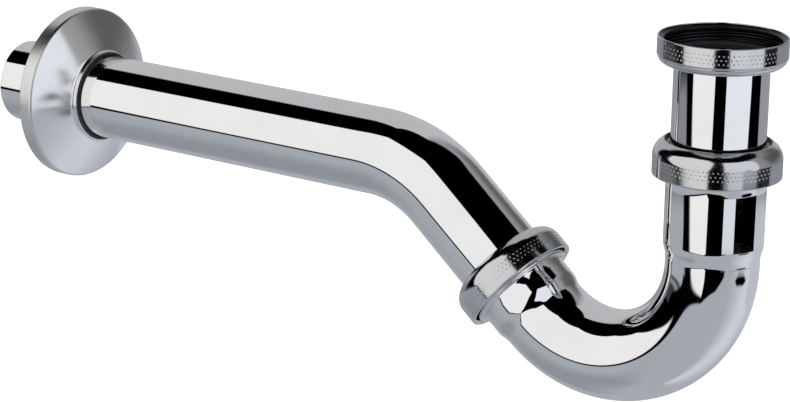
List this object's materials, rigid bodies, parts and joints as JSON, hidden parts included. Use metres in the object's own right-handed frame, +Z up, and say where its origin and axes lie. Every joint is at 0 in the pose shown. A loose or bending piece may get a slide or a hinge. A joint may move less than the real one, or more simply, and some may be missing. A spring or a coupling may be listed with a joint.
{
  "type": "p trap",
  "caption": "Tubular wash-basin P-trap in polished chrome: height-adjustable inlet tube, U-shaped water-seal bend, slip-joint union nuts, angled wall pipe and sliding wall flange.",
  "frame": {"origin": "centre of the inlet gasket's top face, where the basin waste seats", "axes": "+Z up out of the inlet along the inlet tube; the wall lies towards -X and the level wall pipe runs along X"},
  "size_m": [0.3363, 0.0668, 0.1349],
  "materials": {
    "tube_chrome": "polished chrome plate on brass tube",
    "nut_chrome": "polished chrome plate with a dotted grip band",
    "flange_chrome": "polished chrome plate on drawn sheet",
    "ring_brass": "chrome-flashed turned brass",
    "seal_rubber": "black EPDM rubber, matt",
    "slip_plastic": "white polyethylene, satin"
  },
  "bodies": {
    "inlet": {"inlet_tube": "tube_chrome", "inlet_gasket": "seal_rubber"},
    "inlet_nut": {"inlet_nut": "nut_chrome"},
    "inlet_seal": {"bend_inlet_cone_seal": "seal_rubber", "bend_inlet_slip_ring": "slip_plastic"},
    "trap": {"trap_bend": "tube_chrome", "bend_inlet_thread_ring": "ring_brass", "bend_outlet_thread_ring": "ring_brass"},
    "bend_inlet_nut": {"bend_inlet_nut": "nut_chrome"},
    "bend_outlet_nut": {"bend_outlet_nut": "nut_chrome"},
    "outlet_seal": {"bend_outlet_cone_seal": "seal_rubber", "bend_outlet_slip_ring": "slip_plastic"},
    "outlet": {"outlet_pipe": "tube_chrome"},
    "flange_grip": {"flange_grip_ring": "seal_rubber"},
    "wall_flange": {"wall_flange": "flange_chrome"}
  },
  "joints": [
    {"name": "inlet_nut_spin", "type": "hinge", "parent": "inlet", "child": "inlet_nut", "pos_m": [0, 0, 0], "axis": [0, 0, 1], "continuous": true},
    {"name": "trap_height", "type": "slide", "parent": "inlet", "child": "inlet_seal", "axis": [0, 0, 1], "range_m": [-0.015, 0.005]},
    {"name": "trap_swivel", "type": "hinge", "parent": "inlet_seal", "child": "trap", "pos_m": [0, 0, -0.0298], "axis": [0, 0, 1], "continuous": true},
    {"name": "bend_inlet_nut_spin", "type": "hinge", "parent": "trap", "child": "bend_inlet_nut", "pos_m": [0, 0, -0.0298], "axis": [0, 0, 1], "continuous": true},
    {"name": "bend_outlet_nut_spin", "type": "hinge", "parent": "trap", "child": "bend_outlet_nut", "pos_m": [-0.08522, 0, -0.08814], "axis": [-0.766, 0, 0.6428], "continuous": true},
    {"name": "outlet_swivel", "type": "hinge", "parent": "trap", "child": "outlet_seal", "pos_m": [-0.08522, 0, -0.08814], "axis": [-0.766, 0, 0.6428], "continuous": true},
    {"name": "outlet_reach", "type": "slide", "parent": "outlet_seal", "child": "outlet", "axis": [-0.766, 0, 0.6428], "range_m": [-0.0025, 0.006]},
    {"name": "flange_slide", "type": "slide", "parent": "outlet", "child": "flange_grip", "axis": [-1, 0, 0], "range_m": [-0.11, 0.018]},
    {"name": "flange_spin", "type": "hinge", "parent": "flange_grip", "child": "wall_flange", "pos_m": [-0.28752, 0, -0.05706], "axis": [-1, 0, 0], "continuous": true}
  ]
}
